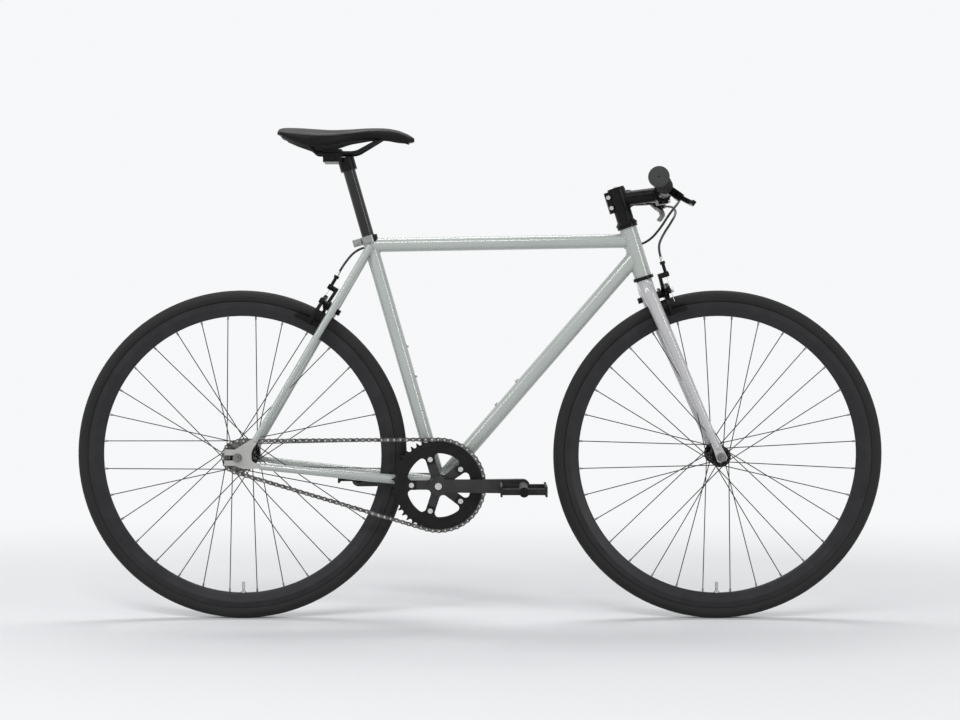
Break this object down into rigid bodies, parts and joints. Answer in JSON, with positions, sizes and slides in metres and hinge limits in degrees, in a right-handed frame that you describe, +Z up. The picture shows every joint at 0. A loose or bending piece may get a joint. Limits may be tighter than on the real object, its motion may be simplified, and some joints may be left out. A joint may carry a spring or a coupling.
{
  "type": "fixed gear bicycle",
  "caption": "Fixed gear bicycle with a grey diamond frame, flat handlebar, rim brakes, black deep rims and a single chain drive; wheels, cranks, pedals, steering, brakes and seatpost move.",
  "frame": {"origin": "on the ground midway between the two axles, in the bicycle's middle plane", "axes": "+X forward, +Y to the rider's left, +Z up; the chain is on the -Y side"},
  "size_m": [1.6509, 0.5744, 1.0053],
  "materials": {
    "frame_paint": "satin grey paint",
    "fork_paint": "satin grey paint",
    "black_alloy": "satin black",
    "rim_black": "satin black",
    "spoke_steel": "black coated",
    "steel": "plated",
    "bolts": "plated",
    "crank_alloy": "dark satin",
    "chain_steel": "oiled dark steel",
    "tyre": "matte",
    "tube_rubber": "matte",
    "grip_rubber": "matte",
    "pad_rubber": "matte",
    "pedal_plastic": "matte",
    "cable_plastic": "semi gloss",
    "saddle_leather": "smooth matte cover",
    "saddle_plastic": "matte"
  },
  "bodies": {
    "frame": {"head_tube": "frame_paint", "top_tube": "frame_paint", "down_tube": "frame_paint", "seat_tube": "frame_paint", "bottom_bracket_shell": "frame_paint", "chain_stays": "frame_paint", "seat_stays": "frame_paint", "track_ends": "frame_paint", "frame_fittings": "bolts", "frame_bearings": "black_alloy", "seat_clamp": "steel", "rear_axle": "steel", "rear_caliper_mount": "black_alloy", "rear_brake_cable": "cable_plastic", "chain": "chain_steel"},
    "seat": {"seatpost": "black_alloy", "saddle_clamp": "black_alloy", "saddle_rails": "black_alloy", "saddle_base": "saddle_plastic", "saddle_cover": "saddle_leather"},
    "steering": {"fork_crown": "fork_paint", "fork_blades": "fork_paint", "headset_spacers": "black_alloy", "stem": "black_alloy", "cockpit_bolts": "bolts", "handlebar": "black_alloy", "grips": "grip_rubber", "brake_lever_brackets": "black_alloy", "front_axle": "steel", "front_caliper_mount": "black_alloy", "front_brake_cable": "cable_plastic"},
    "front_wheel": {"front_tyre": "tyre", "front_inner_tube": "tube_rubber", "front_rim": "rim_black", "front_spokes": "spoke_steel", "front_nipples": "steel", "front_hub": "black_alloy"},
    "rear_wheel": {"rear_tyre": "tyre", "rear_inner_tube": "tube_rubber", "rear_rim": "rim_black", "rear_spokes": "spoke_steel", "rear_nipples": "steel", "rear_hub": "black_alloy", "rear_cog": "chain_steel"},
    "crankset": {"crank_hardware": "bolts", "right_crank": "crank_alloy", "left_crank": "crank_alloy", "chainring": "black_alloy"},
    "right_pedal": {"right_pedal": "pedal_plastic"},
    "left_pedal": {"left_pedal": "pedal_plastic"},
    "front_brake_lever": {"front_brake_lever": "black_alloy"},
    "rear_brake_lever": {"rear_brake_lever": "black_alloy"},
    "front_centre_arm": {"front_centre_arm": "black_alloy", "front_centre_pad": "pad_rubber"},
    "front_pivot_arm": {"front_pivot_arm": "black_alloy", "front_pivot_pad": "pad_rubber"},
    "rear_centre_arm": {"rear_centre_arm": "black_alloy", "rear_centre_pad": "pad_rubber"},
    "rear_pivot_arm": {"rear_pivot_arm": "black_alloy", "rear_pivot_pad": "pad_rubber"}
  },
  "joints": [
    {"name": "steering_turn", "type": "hinge", "parent": "frame", "child": "steering", "pos_m": [0.45243, 0, 0.32628], "axis": [-0.3007, 0, 0.9537], "range_deg": [-70, 70], "deforming": ["rear_brake_cable"]},
    {"name": "seat_height", "type": "slide", "parent": "frame", "child": "seat", "axis": [-0.2756, 0, 0.9613], "range_m": [-0.08, 0.04]},
    {"name": "front_wheel_spin", "type": "hinge", "parent": "steering", "child": "front_wheel", "pos_m": [0.488, 0, 0.3375], "axis": [0, 1, 0], "continuous": true},
    {"name": "crank_spin", "type": "hinge", "parent": "frame", "child": "crankset", "pos_m": [-0.08384, 0, 0.28], "axis": [0, 1, 0], "continuous": true, "deforming": ["chain"]},
    {"name": "rear_wheel_spin", "type": "hinge", "parent": "frame", "child": "rear_wheel", "pos_m": [-0.488, 0, 0.3375], "axis": [0, 1, 0], "continuous": true, "deforming": ["chain"]},
    {"name": "right_pedal_spin", "type": "hinge", "parent": "crankset", "child": "right_pedal", "pos_m": [0.08616, -0.114, 0.28], "axis": [0, 1, 0], "continuous": true},
    {"name": "left_pedal_spin", "type": "hinge", "parent": "crankset", "child": "left_pedal", "pos_m": [-0.25384, 0.114, 0.28], "axis": [0, 1, 0], "continuous": true},
    {"name": "front_lever_pull", "type": "hinge", "parent": "steering", "child": "front_brake_lever", "pos_m": [0.38505, 0.15993, 0.85506], "axis": [0.586, 0.0775, 0.8066], "range_deg": [0, 22], "stiffness_Nm_per_rad": 4, "deforming": ["front_brake_cable"]},
    {"name": "front_centre_arm_close", "type": "hinge", "parent": "steering", "child": "front_centre_arm", "pos_m": [0.34718, 0, 0.66009], "axis": [0.9537, 0, 0.3007], "range_deg": [0, 2.65], "deforming": ["front_brake_cable"]},
    {"name": "front_pivot_arm_close", "type": "hinge", "parent": "steering", "child": "front_pivot_arm", "pos_m": [0.34568, 0.018, 0.66485], "axis": [-0.9537, 0, -0.3007], "range_deg": [0, 2.55], "deforming": ["front_brake_cable"]},
    {"name": "rear_lever_pull", "type": "hinge", "parent": "steering", "child": "rear_brake_lever", "pos_m": [0.38505, -0.15993, 0.85506], "axis": [-0.586, 0.0775, -0.8066], "range_deg": [0, 22], "stiffness_Nm_per_rad": 4, "deforming": ["rear_brake_cable"]},
    {"name": "rear_centre_arm_close", "type": "hinge", "parent": "frame", "child": "rear_centre_arm", "pos_m": [-0.29961, 0, 0.63484], "axis": [-0.8627, 0, 0.5058], "range_deg": [0, 2.65], "deforming": ["rear_brake_cable"]},
    {"name": "rear_pivot_arm_close", "type": "hinge", "parent": "frame", "child": "rear_pivot_arm", "pos_m": [-0.29708, -0.018, 0.63915], "axis": [0.8627, 0, -0.5058], "range_deg": [0, 2.4], "deforming": ["rear_brake_cable"]}
  ],
  "couplings": [
    {"joint": "rear_wheel_spin", "follows": "crank_spin", "ratio": 2.875},
    {"joint": "front_centre_arm_close", "follows": "front_lever_pull", "ratio": 0.11818},
    {"joint": "front_pivot_arm_close", "follows": "front_lever_pull", "ratio": 0.11364},
    {"joint": "rear_centre_arm_close", "follows": "rear_lever_pull", "ratio": 0.11818},
    {"joint": "rear_pivot_arm_close", "follows": "rear_lever_pull", "ratio": 0.10682}
  ]
}
